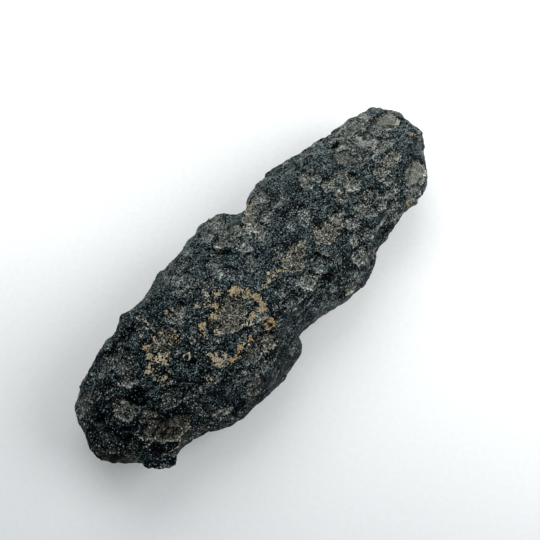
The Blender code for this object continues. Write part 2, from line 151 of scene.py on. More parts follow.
# Where crumbs of clay are scattered thinly: x, y, half length, half width, turn, how much.
CLAY_DUST = [
    (-9, 0, 9, 7, 0, 0.24), (-20, 4, 6, 5, 0, 0.2), (-28, -6.5, 4.5, 3, -20, 0.12), (9, -3, 7, 6, 0, 0.1),
]

# Long edges: height above the skin, width, drop on one side (to the left of the way along if positive,
# and to the right if negative), how light the edge is (a painted highlight, partly wear) and how dark its
# foot is (painted shade), and the points it follows.
EDGES = [
    # the slope below the notch and the facet of the tapered end
    (0.16, 0.4, 0.2, 0.6, 0.6, [(13.9, 11.6), (17.4, 10.1), (19.4, 8.9), (22, 9), (24.9, 8.3), (27.9, 7.8),
        (29.6, 5.8)]),
    (0.1, 0.35, 0.12, 0.5, 0.4, [(11.7, 11.7), (14.4, 11.5), (18.2, 11.1), (20.9, 10.1), (23.7, 9.3)]),
    (0.12, 0.4, 0.25, 0.2, 0.9, [(23.8, 6.2), (24.6, 4.9), (25.6, 3.2), (26.8, 0.9)]),
    (0.1, 0.35, 0.2, 0.2, 0.8, [(27.2, 1.3), (29.5, 0.3), (31.5, -0.4), (33.4, -1.4)]),
    (0.08, 0.3, 0.22, 0.2, 1, [(34.3, 4.4), (35.4, 3.4), (36, 2), (37.1, 0.4)]),
    (0.08, 0.3, 0.15, 0.2, 0.8, [(25.2, 7.9), (27.3, 7.7), (29.1, 6), (29.8, 3.4)]),
    # the side of the notch and the upper slope
    (0.12, 0.4, 0, 0.7, 0.4, [(-14.5, 11.6), (-12.7, 11.4), (-11.1, 11.5), (-8.7, 11)]),
    (0.12, 0.35, 0, 0.7, 0.4, [(-6.5, 13.3), (-5.2, 12.3), (-3.9, 11.4), (-2.7, 11.5)]),
    (0.1, 0.3, 0.25, 0.3, 1, [(6.2, 8.9), (8.2, 7.6), (12.8, 7.5)]),
    (0.08, 0.28, -0.1, 0.7, 0.3, [(1.2, 11.7), (1.6, 10.5), (2.2, 9.7), (3.7, 9.7)]),
    (0.12, 0.35, 0, 0.6, 0.3, [(-22, 12.2), (-19.6, 12.6), (-17.5, 11.9)]),
    # the near side
    (0.1, 0.35, -0.4, 0.3, 0.8, [(-27.3, -8.7), (-26, -8.8), (-23.2, -9.4), (-21.7, -9), (-20.3, -9.6),
        (-19.1, -11)]),
    (0.1, 0.35, 0, 0.5, 0.5, [(-20.2, -12), (-18.8, -12), (-17.2, -12.5)]),
    (0.1, 0.4, 0, 0.3, 0.5, [(-15.5, -12.3), (-11, -12), (-5.3, -11.3)]),
    (0.1, 0.35, -0.2, 0.5, 0.7, [(19.3, -9.6), (21, -9.6), (24, -9.2), (26, -9.9), (28.5, -8.9),
        (31, -7.2), (33.5, -6.3)]),
    (0.1, 0.3, -0.15, 0.8, 0.6, [(-0.5, -11), (2.6, -11.2), (3.6, -11.6), (5.2, -12.7)]),
    (0.1, 0.3, -0.15, 0.8, 0.6, [(5.2, -10), (6.2, -10.7), (7.5, -11.2), (9, -12.1), (11.8, -12.5)]),
    (0.1, 0.3, -0.15, 0.7, 0.7, [(14.8, -8.1), (13.5, -9.4), (12.8, -10.9), (13.2, -11.8)]),
    (0.08, 0.28, 0, 0.7, 0.5, [(15.9, -11.1), (15, -12.1), (13.4, -12.5)]),
    (0.08, 0.28, -0.1, 0.7, 0.5, [(22, -9.4), (20.2, -9.4), (18.7, -9.7)]),
    (0.08, 0.25, -0.1, 0.8, 0.6, [(19.3, -10.6), (19, -11.5), (20.9, -11.3), (22.2, -10.8)]),
    # the steep edge of the tapered end
    (0.1, 0.3, 0.1, 0.9, 0.4, [(13.6, 11.5), (19.5, 11.1), (24.1, 9.9), (27.7, 8.4), (29.3, 6),
        (31, 3.7)]),
    (0.1, 0.25, 0.1, 0.8, 0.5, [(16.3, 10.8), (18.9, 10.1), (22.1, 9.1), (25.3, 8.4), (26.9, 7.7)]),
    (0.1, 0.25, 0, 0.7, 0.5, [(29.3, 8.1), (31.5, 7.5), (33.3, 6.5), (34.7, 6.6), (36.3, 6.6)]),
    (0.14, 0.28, 0.25, 1, 0.7, [(24.8, 5.5), (25.5, 3.2), (26.3, 0.9), (29.8, -0.4), (33.2, -0.9),
        (36.7, -1.5), (38.5, -1.9)]),
    (0.08, 0.22, 0.15, 0.3, 1, [(35.3, 4.8), (35, 3.7), (36.1, 2.2), (37.2, 0.2), (38.6, -0.3)]),
    (0.08, 0.22, 0.12, 0.8, 0.6, [(31.1, 5.9), (32.3, 5.2), (31.7, 3.7), (31.8, 2.2), (32.9, 1.5)]),
    (0.1, 0.25, 0, 0.6, 0.4, [(39.9, 2.3), (40, -0.8), (39, -3.6), (37.3, -5.7)]),
    (0.08, 0.22, 0.1, 0.6, 0.8, [(27.5, 5.8), (28.7, 4.4), (29.3, 2.3), (28.8, 1.1)]),
    (0.1, 0.22, 0, 0.8, 0.4, [(31.7, -6.2), (33.1, -6.4), (33.4, -7.5)]),
    # ridges of the far side, and the scales of the lobe
    (0.12, 0.28, 0, 0.8, 0.5, [(-15.3, 11.6), (-13.8, 11.5), (-11.8, 11.5), (-9.7, 11.4)]),
    (0.12, 0.28, 0, 0.8, 0.5, [(-19.6, 13.8), (-17.6, 12.8), (-15.5, 11.5), (-14.5, 11.4)]),
    (0.12, 0.25, 0, 0.9, 0.5, [(-5.3, 12.5), (-4.1, 11.4), (-2.5, 11.9)]),
    (0.1, 0.2, 0.12, 0.9, 0.6, [(1.5, 12.3), (1.6, 11), (2.8, 10.1), (4.5, 10.6), (5.1, 11.6)]),
    (0.08, 0.2, 0.12, 0.9, 0.6, [(0.5, 9.9), (0.3, 8.9), (1.3, 8.3), (2.4, 8.8)]),
    (0.08, 0.2, 0.12, 0.6, 0.6, [(-1.9, 9.8), (-2.3, 8.5), (-1.9, 7), (-0.2, 5.6)]),
    (0.1, 0.22, 0, 1, 0.6, [(6, 9.3), (8.1, 7.5), (9.4, 6.5), (11.4, 6.6), (13.5, 7.2)]),
    (0.08, 0.24, 0, 1.6, 0.3, [(5.3, 7.2), (6.8, 6), (8.2, 5.8)]),
    (0.1, 0.25, 0.1, 0.9, 0.6, [(13.9, 11.3), (16, 10.4), (17.9, 9.1), (20, 8.1)]),
    (0.08, 0.22, 0, 0.7, 0.4, [(14.5, 11.6), (17.5, 11.2), (20.1, 10.5), (22.1, 9.8)]),
    (0.1, 0.25, 0, 0.8, 0.5, [(-11.6, 13.5), (-10.7, 12.9), (-9.2, 11.9)]),
    (0.1, 0.25, 0, 0.6, 0.5, [(-3.6, 13.5), (-1.7, 13.7), (0.1, 13.4)]),
    # dark joints on the top of the blunt half
    (0.05, 0.3, 0.15, 0.2, 1, [(-23.3, 3.8), (-20.8, 2), (-19.4, 0.3), (-18.3, -2.1)]),
    (0.05, 0.3, 0.15, 0.2, 1, [(-23.5, -0.5), (-22.3, -1.6), (-21, -3.5), (-19.7, -5.4)]),
    (0.05, 0.25, 0.15, 0.3, 1, [(-24.6, -6.3), (-24, -7.4), (-23.1, -8.4)]),
    (0.08, 0.25, 0.12, 0.6, 0.9, [(-39.2, 2.2), (-37.8, 3.6), (-36, 3.2), (-34.9, 1.4), (-35.4, -0.4)]),
    (0.05, 0.22, 0.1, 0.6, 0.6, [(-38, 1), (-37.3, 2.2), (-36.2, 1.6)]),
]

# Patches of skin with little relief: x, y, half length, half width, turn, and how calm they are.
SMOOTH_PATCHES = [
    (-11, -13.2, 7, 1.2, 3, 0.8), (32.5, -8, 2.6, 1.4, 35, 1), (37.3, 2.3, 1.3, 2.2, 25, 0.9),
    (31, 5, 7, 3.4, 10, 0.55), (-29.5, -5, 4.5, 3.2, -15, 0.5), (3, 11, 3.5, 2.4, 0, 0.45),
    (3, 12, 1.5, 1.4, 0, 0.5), (-13, -12, 6, 1.2, 3, 0.4),
]

# Lighter and darker stretches of the skin, partly painted light and shade and partly the stone's own
# tone: x, y, radius along X and along Y, and tone.
SHADES = [
    (27.9, -5.7, 3.5, 3, -0.15), (12.5, -8.8, 5, 3.5, -0.2), (0.2, -6.4, 3, 3, -0.18),
    (-8.7, 0.1, 3, 2.5, -0.16), (-7.2, -9, 4, 2.5, -0.12), (-39, -0.8, 2.5, 4, -0.45),
    (-28.7, -5.8, 4, 2.5, -0.18), (-25.6, -10.1, 2.5, 2, -0.2), (-24, -2.9, 3, 2.5, -0.14),
    (37, -3, 2.5, 3, -0.18), (15.3, 5, 5, 2.5, -0.2), (-2.4, 0.9, 2.5, 3.5, 0.26), (-28.8, 8.7, 2.5, 3, 0.2),
    (-23.4, 10.3, 4, 2.5, 0.12), (-19.5, -1.7, 2.5, 2.5, 0.24), (-13.8, -5.7, 2.5, 2.5, 0.14),
    (27.1, 5.8, 4, 3, 0.16), (21.5, -1, 2.5, 2.5, 0.08), (20.8, -5.9, 3, 2.5, -0.1),
    (6.8, 10.1, 3, 2.5, 0.1), (30.3, 2.2, 2.5, 2.5, 0.16), (10.8, -7.5, 3, 2.5, -0.2),
    (10.7, -11.9, 3.5, 2.5, -0.22), (27.9, -5.7, 2.5, 3, -0.14), (0.4, -0.2, 3, 2.5, 0.22),
    (-4.4, -0.1, 2, 2.5, 0.2), (-0.5, 5.7, 2.5, 2, 0.18), (-9.8, 1.4, 2.5, 2, -0.18),
    (-11.3, 8.2, 2.5, 2.5, -0.14), (-15, 11.7, 2.5, 2.5, 0.2), (-24.2, 11.2, 3, 2.5, 0.14),
    (-20.6, 2.9, 2.5, 2, -0.2), (25.3, 5.4, 2.5, 2.5, 0.2), (19.9, 8.9, 4, 2.5, 0.18),
    (6.2, -1, 2, 2.5, -0.16), (-3.9, -5.6, 2.5, 2, -0.16), (-0.1, -7.3, 2.5, 2, -0.16),
    (-6.7, -9.6, 3, 2.5, -0.14), (-0.2, 10.4, 2.5, 2, 0.14), (-19.3, -1.4, 2.5, 3, 0.14),
    (28.3, 1.2, 2.5, 2, 0.12), (35.6, -0.8, 2.5, 2.5, 0.12),
]

# ---- How the skin is made. A distance of 1 from the middle of a bowl or a patch is its rim.

# The seeds of everything random. A layer is a number that gives a smooth noise a pattern of its own, and
# the steps are how far apart two layers lie in the noise.
BOWL_SEED = 7
NOISE_SEED = 11
WARP_LAYER = 1
GRAIN_LAYER = 11
LEDGE_LAYER = 31
LAYER_STEPS = (7.9, 13.3, 3.1)
WARP_STEPS = (17.3, 5.1, 9.7)
RANDOM = np.random.default_rng(BOWL_SEED)
noise.seed_set(NOISE_SEED)

# The first even cells, the gap that the solid's points are welded over, the rounds of smoothing that
# take its flat faces away, and the last number of triangles.
VOXEL = 0.17
WELD = 0.01
FIRST_SMOOTHING = 18
TRIANGLES = 195000

# How round things are bent out of true: wavelength and size of each layer.
WARP = ((4.0, 0.58), (1.6, 0.52), (0.75, 0.22))

# Where the skin begins to face the camera and where it fully does, by the cosine of the angle to it.
FACING = (-0.02, 0.12)

# Bowls: how far they reach, their depth for the table's, how flat they are, and the height of rings and
# lips. A lip has a place and a width, and fades where another bowl cuts the skin down. A bowl as deep
# as DEEP_BOWL has the painted highlight and shade of its rim in full.
BOWL_REACH = 1.3
BOWL_DEPTH = 0.65
BOWL_FLATNESS = 2.4
RING_HEIGHT = 0.035
LIP_HEIGHT = 0.02
LIP = (1.08, 0.09)
LIP_FADE = (-0.12, -0.01)
DEEP_BOWL = 0.5

# Where a bowl's marks end: its floor, its inside, and what it clears away of earlier insides and rims.
FLOOR_FADE = (1.12, 1.02)
INSIDE_FADE = (1.14, 0.82)
INSIDE_CLEARED = (1.25, 1.0)
RIM_CLEARED = (1.0, 0.85)

# The way that the painted light comes from. A rim gets a painted highlight on the side that faces it and
# painted shade on the other: place from RIM_AT, width, and how far round towards the light it starts and is
# full.
PAINTED_LIGHT_FROM = (0.35, 0.8, 0.48)
RIM_AT = 0.95
RIM_HIGHLIGHT = (-0.02, 0.11, -0.3, 0.8)
RIM_SHADE = (0.05, 0.13, -0.5, 0.6)

# Random bowls, where the camera's tables don't reach and then all over: smallest and largest radius,
# how many, and how deep for their radius. The rest of a bowl is drawn between two values. Those of the
# back leave out what faces the camera by more than SEEN.
BACK_BOWLS = ((1.6, 3.2, 300, 0.24), (0.9, 1.6, 500, 0.24))
FILL_BOWLS = (0.6, 1.4, 650, 0.14)
RANDOM_FLOORS = (0.05, 0.45)
RANDOM_WARMTH = (0.1, 0.6)
RANDOM_DEPTHS = (0.6, 1.0)
RANDOM_RIMS = (0.4, 1.0)
RANDOM_FLATNESS = 2.2
FILL_PALENESS = 0.5
NEAR_REACH = 1.15
SEEN = 0.6

# Small pits of the whole skin: as above, and how pale the darkest and the palest floor are. A pit is
# marked in full at a share of its greatest depth. Smooth patches lose most of the depth.
SMALL_PITS = ((0.8, 1.3, 300, 0.12, 0.0, 0.35), (0.35, 0.75, 3000, 0.18, 0.0, 0.3))
PIT_FLATNESS = 1.6
MARKED_PIT = 0.4
PIT_MARK = 0.3
PIT_INSIDE = 1.4
PITS_CALMED = 0.7

# Grain: wavelength and height of each layer.
GRAIN = ((2.2, 0.07), (0.9, 0.04), (0.5, 0.025))
GRAIN_CALMED = 0.75

# Long edges: how far they reach, where their drop fades out, and place and width of light and foot.
EDGE_REACH = 2.5
DROP_FADE = (2.4, 0.2)
EDGE_LIGHT = (0.05, 0.17)
EDGE_FOOT = (0.45, 0.22)

# Ledges of the steep sides: spacing, height, and how light their edges (a painted highlight) and how dark
# their feet (painted shade below them) are. The wobble is size and wavelength of each layer. They lie in
# patches, where the skin is upright enough.
LEDGES = (2.1, 0.07, 0.8, 0.7)
LEDGE_WOBBLE = ((1.1, 7.0), (0.45, 2.4))
LEDGE_WIDTH = 0.3
LEDGE_LIGHT_WIDTH = 0.2
LEDGE_FOOT = (0.4, 0.22)
LEDGE_TOP = (0.95, 0.7)
LEDGE_BOTTOM = (-0.9, -0.5)
LEDGE_PATCHES = 5.0
LEDGE_PATCH_EDGE = (-0.05, 0.2)

# How pale the dust of clay is, and where dust, smooth patches and shades fade out.
DUST_PALENESS = 0.6
DUST_FADE = (1.1, 0.6)
CALM_FADE = (1.15, 0.8)
SHADE_FADE = (1.3, 0.2)

# What counts as a full ridge above the smoothed skin, and as a full tilt of it towards the painted light.
# Ridges are painted lighter and low places darker, and tilts towards the light lighter.
RIDGE_ROUNDS = 12
FULL_RIDGE = 0.08
TILT_ROUNDS = 2
FULL_TILT = 0.25
MOST_TILT = 1.5

# Broad tones, painted light and shade: lighter on the steep parts of the far side and darker on those of
# the near one, along the stone (darker towards the blunt end), and across it (darker on the near side), as
# (place, tone). The unseen skin gets its share of all but the tones along it.
STEEP = (0.85, 0.4)
FAR_SIDE = (-0.6, 0.2)
STEEP_LIGHT = 0.16
NEAR_SIDE_DARK = 0.14
END_TONES = (
    (-40.0, -0.42), (-30.0, -0.28), (-16.0, -0.05), (0.0, 0.18), (20.0, 0.2), (34.0, 0.38), (40.0, 0.4),
)
ACROSS_TONES = (
    (-13.0, -0.08), (-9.0, -0.12), (-5.0, -0.13), (0.0, -0.04), (4.0, 0.0), (8.0, 0.1), (12.0, 0.22),
)
UNSEEN_SHARE = 0.2

# The marks on the skin. Those of its ridges and tilts are added at the end.
MARKS = ("floor", "inside", "warm", "clay", "pale", "smooth", "hollow_shade", "rim", "crease_shade", "shade")

# ---- How the glass looks

# Colours, each the middle tone of its kind of surface. The ground's is bluer where it is darker.
GROUND_DARK = (0.0016, 0.01, 0.0138)
GROUND_LIGHT = (0.0215, 0.0264, 0.0265)
FLOOR_COOL = (0.066, 0.073, 0.071)
FLOOR_WARM = (0.069, 0.068, 0.0545)
CLAY_ORANGE = (0.42, 0.245, 0.095)
CLAY_TAN = (0.38, 0.305, 0.185)
CLAY_CREAM = (0.5, 0.45, 0.34)
CLAY_DARK = (0.05, 0.038, 0.026)

# Noises: wavelength, detail and roughness. Round things: size, and wavelength and size of their bending.
FINE_NOISE = (0.26, 2.0, 0.6)
MIDDLE_NOISE = (0.75, 3.0, 0.6)
COARSE_NOISE = (2.6, 3.0, 0.6)
LIGHT_WORMS = (0.85, 1.0, 0.5)
DARK_WORMS = (1.05, 1.0, 0.5)
DARK_WORM_BEND = (0.9, 0.3)
DOT_SIZE = 0.38
DOT_BEND = (0.35, 0.1)
RINGLET_SIZE = 0.95
RINGLET_BEND = (0.6, 0.16)

# The mean and the spread of two of the noises.
MIDDLE_LEVEL = (0.5, 0.11)
COARSE_LEVEL = (0.5, 0.12)

# Thin lines, each where a value passes its middle: that middle, and how far off the line is 0 and 1.
OUTLINE = (0.36, 0.12, 0.02)
RINGLET = (0.34, 0.15, 0.03)
WORM = (0.5, 0.045, 0.012)

# What noises and marks are turned into: two of their values, and the results there, if not 0 and 1. Those
# of the fine and the middle noise push the edges of floors, specks and clay in and out.
EDGE_FINE = (0.3, 0.7, -0.16, 0.16)
EDGE_MIDDLE = (0.3, 0.7, -0.34, 0.34)
SPECK_MIDDLE = (0.3, 0.7, 0.12, -0.1)
CLAY_FINE = (0.25, 0.75, -0.3, 0.3)
CLAY_MIDDLE = (0.25, 0.75, -0.42, 0.42)
FLOOR_EDGE = (0.44, 0.56)
FLOOR_COVER = (0.0, 0.6, 0.12, 1.0)
GRAIN_SPREAD = (0.38, 0.62, -1.4, 1.4)
OUTLINE_BREAKS = (0.4, 0.6, 0.3, 1.0)
RIM_BREAKS = (0.32, 0.6, 0.35, 1.0)
RINGLET_BREAKS = (0.42, 0.6)
LIGHT_WORM_BREAKS = (0.42, 0.58)
DARK_WORM_BREAKS = (0.62, 0.42)
SPECK_EDGE = (0.24, 0.12)
CLAY_EDGE = (0.52, 0.66, 0.0, 0.92)
CLAY_GRAINS = (0.62, 0.36, 0.0, 0.85)
RELIEF_MIDDLE = (0.25, 0.75)
RELIEF_DOTS = (0.0, 0.5, 0.5, 0.0)
RELIEF_FINE = (0.25, 0.75, 0.0, 0.5)
ROUGH_FINE = (0.3, 0.7, -0.08, 0.1)
PAPER_SPREAD = (0.3, 0.7)

# How far each thing lightens or darkens the middle tone.
FINE_GRAIN = 0.56
MIDDLE_GRAIN = 0.08
CLOUDS = 0.17
# The light specks are painted glints.
GLINT_SPECKS = 3.4
RINGLETS = 0.3
LIGHT_WORM_TONE = 0.62
DARK_WORM_TONE = -0.95
OUTLINE_TONE = -0.52
# The light lines of rims, edges and ledges are painted highlights, partly wear on the long edges.
RIM_HIGHLIGHT_TONE = 0.7
# Painted shade in creases and hollows, painted light on tilts towards the light, ridges lighter and low
# places darker.
MARK_TONES = (("crease_shade", -0.7), ("tilt", 0.26), ("hollow_shade", -0.8), ("ridge_light_and_shade", 0.08))
GROUND_TONE = -0.1
FLOOR_TONE = 0.04

# How much of them is left on bowl floors, and of all texture and relief on smooth skin.
GRAIN_ON_FLOORS = 0.75
GLINT_SPECKS_ON_FLOORS = 0.35
SHADE_ON_FLOORS = 0.95
SMOOTH_TEXTURE = 0.4
SMOOTH_RELIEF = 0.35

# The tones where the ground's colour is dark and light, and how brightness to the eye becomes light.
GROUND_TONES = (-0.3, 0.7)
TONE_POWER = 2.2
DARKEST = 0.03
LIGHTEST = 9.0

GLASS_ROUGHNESS = 0.5
FLOOR_ROUGHNESS = 0.72
CLAY_ROUGHNESS = 0.85
GLASS_IOR = 1.5
GLOSS = 0.022
BUMP = 0.09

# ---- The studio

# The lights' names, widths, powers and places, and the place that they point at, in metres.
LIGHTS = (("key", 0.34, 0.6, (0.12, 0.17, 0.34)), ("fill", 0.3, 0.76, (0.13, -0.22, 0.24)))
LIGHTS_AIM = (0.0, 0.0, 0.005)
SKY_COLOUR = (0.95, 0.985, 1.0, 1.0)
SKY_STRENGTH = 0.64
FLOOR_HALF = 1.5

# The paper's colour darkens away from the light, a painted falloff of light: between two places along
# a slanted line, and by how much.
PAPER_GRAIN = (0.9, 3.0, 0.6)
PAPER_TONES = ((0.88, 0.89, 0.89), (0.92, 0.93, 0.93))
PAPER_DIM = (0.25, 0.27, 0.29)
DIM_FROM_TO = (-75.0, 10.0)
DIM_SLANT = 0.6
DIM_MOST = 0.64
PAPER_BUMP = 0.1
PAPER_BUMP_STRENGTH = 0.15
PAPER_ROUGHNESS = 0.8

# ---- Code: the skin

def new_object(name, data):
    thing = bpy.data.objects.new(name, data)
    scene.collection.objects.link(thing)
    return thing


def fine_mesh(source):
    """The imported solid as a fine, even, closed mesh of small quads."""
    work = new_object("fine", source.data.copy())
    weld = work.modifiers.new("weld", "WELD")
    weld.merge_threshold = WELD * MM
    remesh = work.modifiers.new("remesh", "REMESH")
    remesh.mode = "VOXEL"
    remesh.voxel_size = VOXEL * MM
    return baked(work)


def thinned(mesh):
    """The mesh brought down to its triangle count, keeping the marks."""
    work = new_object("thin", mesh)
    triangles = sum(len(face.vertices) - 2 for face in mesh.polygons)
    decimate = work.modifiers.new("decimate", "DECIMATE")
    decimate.ratio = min(1.0, TRIANGLES / triangles)
    return baked(work)


def baked(work):
    """The mesh that an object's modifiers make; the object and its own mesh are removed."""
    mesh = work.data
    seen = work.evaluated_get(bpy.context.evaluated_depsgraph_get())
    result = bpy.data.meshes.new_from_object(seen)
    bpy.data.objects.remove(work)
    bpy.data.meshes.remove(mesh)
    return result


def read(items, name, width, kind=float):
    """One property of all of a mesh's vertices, edges or normals, as rows of numbers."""
    flat = np.empty(len(items) * width, dtype=kind)
    items.foreach_get(name, flat)
    return flat.reshape(-1, width)


def normals_of(mesh, points):
    """Moves the mesh's vertices to these points, and gives their normals there."""
    mesh.vertices.foreach_set("co", (points * MM).ravel())
    mesh.update()
    return read(mesh.vertex_normals, "vector", 3)


def smoothed(values, edges, rounds):
    """The values, moved halfway to the mean of their neighbours in each round."""
    values = values.copy()
    first, second = edges.T
    count = len(values)
    neighbours = np.maximum(np.bincount(edges.ravel(), minlength=count), 1)
    for _ in range(rounds):
        for column in values.T:
            total = np.bincount(first, column[second], count)
            total += np.bincount(second, column[first], count)
            column += 0.5 * (total / neighbours - column)
    return values


def soft_step(low, high, x):
    """0 at low and before, 1 at high and beyond, and smooth between them."""
    t = np.clip((x - low) / (high - low), 0, 1)
    return t * t * (3.0 - 2.0 * t)


def hump(x, middle, width):
    """1 at its middle, and near 0 from two widths away."""
    return np.exp(-((x - middle) / width) ** 2)


def bowl_shape(t, flatness):
    """1 on a bowl's floor and 0 from its rim outwards."""
    return np.clip(flatness * (1 - t * t), 0, 1) ** 0.8


def lumps(points, wavelength, layer, kind=noise.noise, steps=LAYER_STEPS):
    """Smooth random values from about -1 to 1, or vectors about as long, by the kind of noise."""
    shift = Vector([layer * step for step in steps])
    rows = (points / wavelength).tolist()
    return np.array([kind(Vector(row) + shift) for row in rows])


def as_seen(points):
    """Where the camera's sight-lines to the points cross the sight plane."""
    eye = np.array(CAMERA_AT)
    way = points - eye
    reach = (SIGHT_PLANE - eye[2]) / way[:, 2]
    crossing = eye + way * reach[:, None]
    return crossing[:, :2] - np.array(TABLE_ORIGIN)


def in_ellipse(seen, x, y, rx, ry, turn=0):
    """Distance from the middle of an ellipse, 1 at its rim."""
    angle = math.radians(turn)
    dx = seen[:, 0] - x
    dy = seen[:, 1] - y
    along = (dx * math.cos(angle) + dy * math.sin(angle)) / rx
    across = (dy * math.cos(angle) - dx * math.sin(angle)) / ry
    return np.hypot(along, across)


def to_line(seen, line):
    """Distance to a line of points, and which side of it each point is on."""
    best = np.full(len(seen), np.inf)
    side = np.zeros(len(seen))
    for (ax, ay), (bx, by) in zip(line, line[1:]):
        wx, wy = bx - ax, by - ay
        length = math.hypot(wx, wy)
        dx, dy = seen[:, 0] - ax, seen[:, 1] - ay
        t = np.clip((dx * wx + dy * wy) / length ** 2, 0, 1)
        gap = np.hypot(dx - t * wx, dy - t * wy)
        nearer = gap < best
        best[nearer] = gap[nearer]
        side[nearer] = np.sign(wx * dy - wy * dx)[nearer]
    return best, side


class Skin:
    """The fine skin: its points, how far each is raised or cut, and the marks that colour it."""

    def __init__(self, mesh):
        self.mesh = mesh
        self.edges = read(mesh.edges, "vertices", 2, np.int64)
        self.points = smoothed(read(mesh.vertices, "co", 3) / MM, self.edges, FIRST_SMOOTHING)
        self.normals = normals_of(mesh, self.points)
        self.count = len(self.points)
        self.height = np.zeros(self.count)
        self.lips = np.zeros(self.count)
        self.marks = {name: np.zeros(self.count) for name in MARKS}
        self.warped = self.points.copy()
        for layer, (wavelength, size) in enumerate(WARP, WARP_LAYER):
            self.warped += size * lumps(self.points, wavelength, layer, noise.noise_vector, WARP_STEPS)
        self.seen = as_seen(self.warped)
        to_eye = np.array(CAMERA_AT) - self.points
        to_eye /= np.linalg.norm(to_eye, axis=1)[:, None]
        self.facing = soft_step(*FACING, (to_eye * self.normals).sum(axis=1))
        self.tree = kdtree.KDTree(self.count)
        for index, row in enumerate(self.warped.tolist()):
            self.tree.insert(row, index)
        self.tree.balance()

    def near(self, index, radius):
        """Vertices near one: which, their distance (1 at the radius), and how far towards the painted light.
        """
        found = self.tree.find_range(self.warped[index].tolist(), radius * NEAR_REACH)
        rows = np.array([row[1] for row in found])
        gap = self.warped[rows] - self.warped[index]
        flat = gap - (gap @ self.normals[index])[:, None] * self.normals[index]
        length = np.maximum(np.linalg.norm(flat, axis=1), 0.01)
        light_way = np.array(PAINTED_LIGHT_FROM) - (self.normals[index] @ PAINTED_LIGHT_FROM) * self.normals[index]
        return rows, length / radius, -(flat @ light_way) / length

    def lower(self, rows, deep):
        """Cuts the skin down to a depth, where it isn't that deep already."""
        self.height[rows] = np.minimum(self.height[rows], -deep)

    def strengthen(self, name, values, rows=slice(None)):
        """Raises a mark to the values, where it is weaker; rows are some vertices, or all."""
        self.marks[name][rows] = np.maximum(self.marks[name][rows], values)

    def mark_floor(self, rows, t, floor, warm, weight):
        """Gives a bowl's floor its own tone, and marks its inside."""
        shape = soft_step(*FLOOR_FADE, t) * weight
        for name, value in (("floor", floor), ("warm", warm)):
            mark = self.marks[name]
            mark[rows] = mark[rows] * (1 - shape) + value * shape
        self.marks["inside"][rows] *= 1 - soft_step(*INSIDE_CLEARED, t) * weight
        self.strengthen("inside", soft_step(*INSIDE_FADE, t) * weight, rows)

    def paint_rim_light_and_shade(self, rows, t, radius, turned, strength):
        """A painted highlight inside the rim that faces the light, and painted shade inside the opposite
        rim.
        """
        gap = (t - RIM_AT) * radius
        # The light line is a painted highlight, and the dark line is painted shade.
        for name, toward, line in (("rim", turned, RIM_HIGHLIGHT), ("crease_shade", -turned, RIM_SHADE)):
            place, width, start, full = line
            self.marks[name][rows] *= 1 - soft_step(*RIM_CLEARED, t)
            value = hump(gap, place, width) * soft_step(start, full, toward) * strength
            self.strengthen(name, value, rows)

    def patches(self, table, fade):
        """Each row's last value, spread over its ellipse on the skin that faces the camera."""
        for *ellipse, amount in table:
            yield amount * soft_step(*fade, in_ellipse(self.seen, *ellipse)) * self.facing

    def calm(self):
        """Marks the smooth patches."""
        for calmness in self.patches(SMOOTH_PATCHES, CALM_FADE):
            self.strengthen("smooth", calmness)

    def carve_seen_bowls(self):
        """The bowls of the table, with their lips, rings, floors and rims."""
        light_way = np.array(PAINTED_LIGHT_FROM[:2])
        for x, y, rx, ry, turn, depth, floor, warm, rings in BOWLS:
            t = in_ellipse(self.seen, x, y, rx, ry, turn)
            inside = t < BOWL_REACH
            t = t[inside]
            facing = self.facing[inside]
            deep = depth * BOWL_DEPTH * bowl_shape(t, BOWL_FLATNESS)
            if rings:
                deep = deep + RING_HEIGHT * np.cos(math.tau * rings * t) * np.clip(1 - t, 0, 1)
            self.lower(inside, deep * facing)
            self.lips[inside] = np.maximum(self.lips[inside], LIP_HEIGHT * hump(t, *LIP) * facing)
            self.mark_floor(inside, t, floor, warm, facing)
            # How far round each place lies towards the painted light, for the rim's painted highlight and
            # shade.
            away = self.seen[inside] - (x, y)
            turned = -(away @ light_way) / np.linalg.norm(light_way) / np.maximum(np.hypot(*away.T), 0.01)
            self.paint_rim_light_and_shade(inside, t, math.sqrt(rx * ry), turned, min(1.0, depth / DEEP_BOWL) * facing)

    def carve_hollows(self):
        """The hollows of the table, darkened with painted shade, which take away the bowl marks that they
        cut.
        """
        for x, y, rx, ry, turn, depth in HOLLOWS:
            t = in_ellipse(self.seen, x, y, rx, ry, turn)
            inside = t < 1.0
            self.height[inside] -= depth * (1 - t[inside] ** 2) * self.facing[inside]
            # Painted shade, darkest in the middle of each hollow.
            dark = (1 - t[inside] ** 2) * self.facing[inside]
            for name in ("floor", "inside"):
                self.marks[name][inside] *= 1 - dark
            self.strengthen("hollow_shade", dark, inside)

    def scatter_bowls(self, low, high, count, steepness, everywhere):
        """Random bowls: all over, or only where the camera's tables don't reach."""
        for _ in range(count):
            index = int(RANDOM.integers(self.count))
            radius = RANDOM.uniform(low, high)
            floor = RANDOM.uniform(*RANDOM_FLOORS) * (FILL_PALENESS if everywhere else 1.0)
            warm = RANDOM.uniform(*RANDOM_WARMTH)
            depth = RANDOM.uniform(*RANDOM_DEPTHS) * steepness * radius
            if self.facing[index] > SEEN and not everywhere:
                continue
            rows, t, turned = self.near(index, radius)
            reach = np.ones(len(rows)) if everywhere else 1 - self.facing[rows]
            self.lower(rows, depth * bowl_shape(t, RANDOM_FLATNESS) * reach)
            self.mark_floor(rows, t, floor, warm, reach)
            self.paint_rim_light_and_shade(rows, t, radius, turned, reach * RANDOM.uniform(*RANDOM_RIMS))

